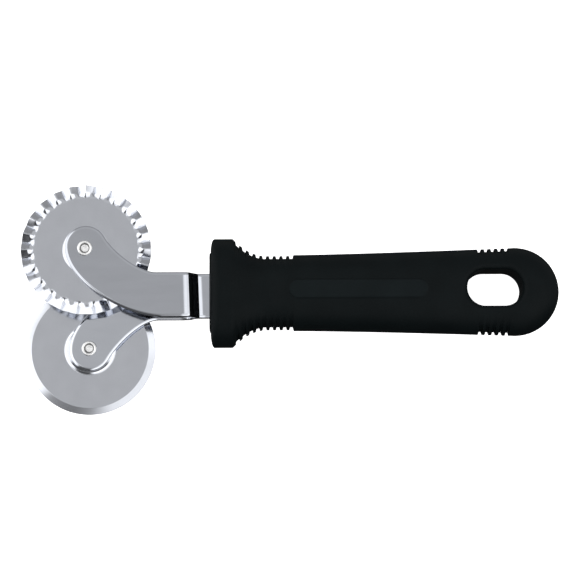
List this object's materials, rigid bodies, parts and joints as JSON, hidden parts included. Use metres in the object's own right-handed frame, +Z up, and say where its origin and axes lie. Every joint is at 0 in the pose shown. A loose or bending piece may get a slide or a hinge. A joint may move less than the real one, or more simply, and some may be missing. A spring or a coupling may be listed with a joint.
{
  "type": "double pastry wheel",
  "caption": "Hand-held pastry cutter with a fluted wheel and a plain wheel, turning on rivets at the ends of curved steel arms, and a moulded handle with a hanging slot.",
  "frame": {"origin": "under the middle of the tool's bounding box, on the surface the tool lies on", "axes": "+X along the handle from the wheels to the butt, +Y across the tool from the plain wheel to the fluted wheel, +Z up, along both wheel axles"},
  "size_m": [0.2068, 0.0876, 0.026],
  "materials": {
    "black_moulding": "fine-textured satin black moulding",
    "core_moulding": "smooth matt black moulding",
    "arm_steel": "fine brushed stainless strip with rounded edges",
    "wheel_steel": "satin stainless sheet with bright cut edges",
    "rivet_steel": "rolled and polished tubular rivet",
    "bush_steel": "turned and polished",
    "pin_steel": "plain drawn pin",
    "washer_nylon": "natural nylon"
  },
  "bodies": {
    "handle_and_fork": {"handle_grip": "black_moulding", "handle_core": "core_moulding", "upper_arm": "arm_steel", "lower_arm": "arm_steel", "front_tang_pin": "pin_steel", "rear_tang_pin": "pin_steel", "fluted_axle_rivet": "rivet_steel", "plain_axle_rivet": "rivet_steel", "fluted_hub_bush": "bush_steel", "plain_hub_bush": "bush_steel", "fluted_hub_washer": "washer_nylon", "plain_hub_washer": "washer_nylon"},
    "fluted_wheel": {"fluted_wheel": "wheel_steel"},
    "plain_wheel": {"plain_wheel": "wheel_steel"}
  },
  "joints": [
    {"name": "fluted_wheel_spin", "type": "hinge", "parent": "handle_and_fork", "child": "fluted_wheel", "pos_m": [-0.07838, 0.01883, 0.01595], "axis": [0, 0, 1], "continuous": true},
    {"name": "plain_wheel_spin", "type": "hinge", "parent": "handle_and_fork", "child": "plain_wheel", "pos_m": [-0.07773, -0.01843, 0.00175], "axis": [0, 0, 1], "continuous": true}
  ]
}
